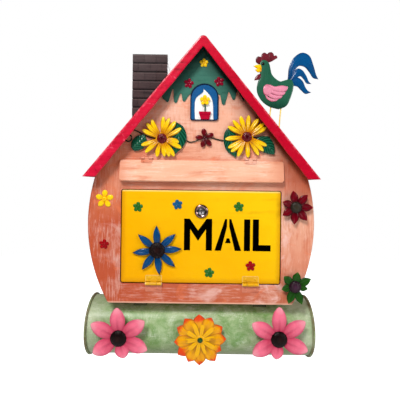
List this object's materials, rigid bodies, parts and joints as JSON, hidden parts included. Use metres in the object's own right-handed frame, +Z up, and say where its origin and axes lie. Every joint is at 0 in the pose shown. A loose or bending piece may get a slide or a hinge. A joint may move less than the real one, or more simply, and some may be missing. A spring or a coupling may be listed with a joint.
{
  "type": "mailbox",
  "caption": "Wall-mounted cottage-shaped sheet-steel letterbox with a hinged letter flap, a drop-down locking door and a newspaper tube below.",
  "frame": {"origin": "centre of the four wall-screw holes, on the back face of the box", "axes": "+Y into the wall, +Z up, +X to the right as seen from the front; the front faces -Y"},
  "size_m": [0.3869, 0.122, 0.526],
  "materials": {
    "body_paint": "hand-painted salmon",
    "flap_paint": "light salmon",
    "door_paint": "yellow gloss",
    "roof_paint": "mottled crimson",
    "overlay_paint": "sage green",
    "navy_paint": "navy",
    "blue_paint": "blue",
    "white_paint": "white",
    "red_paint": "deep red",
    "maroon_paint": "maroon",
    "green_paint": "dark green",
    "yellow_paint": "yellow",
    "pink_paint": "pink",
    "orange_paint": "orange",
    "dark_paint": "near black",
    "chimney_paint": "dark brown",
    "tube_paint": "mottled sage green",
    "hinge_paint": "painted over hinges",
    "steel": "zinc plated",
    "chrome": "chromed"
  },
  "bodies": {
    "housing": {"front_panel": "body_paint", "back_panel": "body_paint", "floor_plate": "body_paint", "side_wall_left": "body_paint", "side_wall_right": "body_paint", "roof_sheet": "roof_paint", "roof_band": "roof_paint", "chimney": "chimney_paint", "gable_overlay": "overlay_paint", "window_frame": "navy_paint", "window_pane": "white_paint", "window_curtain": "blue_paint", "window_pot": "red_paint", "window_stem": "green_paint", "window_bloom": "yellow_paint", "vine_wire": "green_paint", "vine_leaves": "green_paint", "daisy_left": "yellow_paint", "daisy_right": "yellow_paint", "daisy_centres": "maroon_paint", "vine_blossom": "maroon_paint", "gable_flowers": "red_paint", "side_flowers": "yellow_paint", "burgundy_flower": "maroon_paint", "burgundy_centre": "dark_paint", "green_flower": "green_paint", "green_flower_centre": "dark_paint", "newspaper_tube": "tube_paint", "tube_saddles": "body_paint", "tube_bolts": "steel", "pink_flower_left": "pink_paint", "pink_flower_right": "pink_paint", "pink_centres": "dark_paint", "orange_flower_outer": "orange_paint", "orange_flower_inner": "orange_paint", "orange_rivet": "green_paint", "rooster_body": "green_paint", "rooster_tail": "blue_paint", "rooster_comb": "maroon_paint", "rooster_beak": "yellow_paint", "rooster_wing": "pink_paint", "rooster_eye": "dark_paint", "rooster_legs": "yellow_paint", "flap_hinge_fixed": "hinge_paint", "flap_hinge_pins": "steel", "door_hinge_fixed": "hinge_paint", "door_hinge_pins": "steel"},
    "flap": {"letter_flap": "flap_paint", "flap_hinge_moving": "flap_paint"},
    "door": {"door_panel": "door_paint", "door_hinge_moving": "door_paint", "door_flower": "blue_paint", "door_flower_centre": "dark_paint", "door_small_flowers": "green_paint", "lock_housing": "chrome", "lock_nut": "steel"},
    "lock_core": {"lock_plug": "chrome", "lock_cam": "steel", "cam_bolt": "steel"}
  },
  "joints": [
    {"name": "flap_hinge", "type": "hinge", "parent": "housing", "child": "flap", "pos_m": [0, -0.1065, 0.1216], "axis": [-1, 0, 0], "range_deg": [0, 80]},
    {"name": "door_hinge", "type": "hinge", "parent": "housing", "child": "door", "pos_m": [0, -0.1069, -0.078], "axis": [1, 0, 0], "range_deg": [0, 120]},
    {"name": "lock_turn", "type": "hinge", "parent": "door", "child": "lock_core", "pos_m": [0.0004, -0.104, 0.038], "axis": [0, 1, 0], "range_deg": [0, 90]}
  ]
}
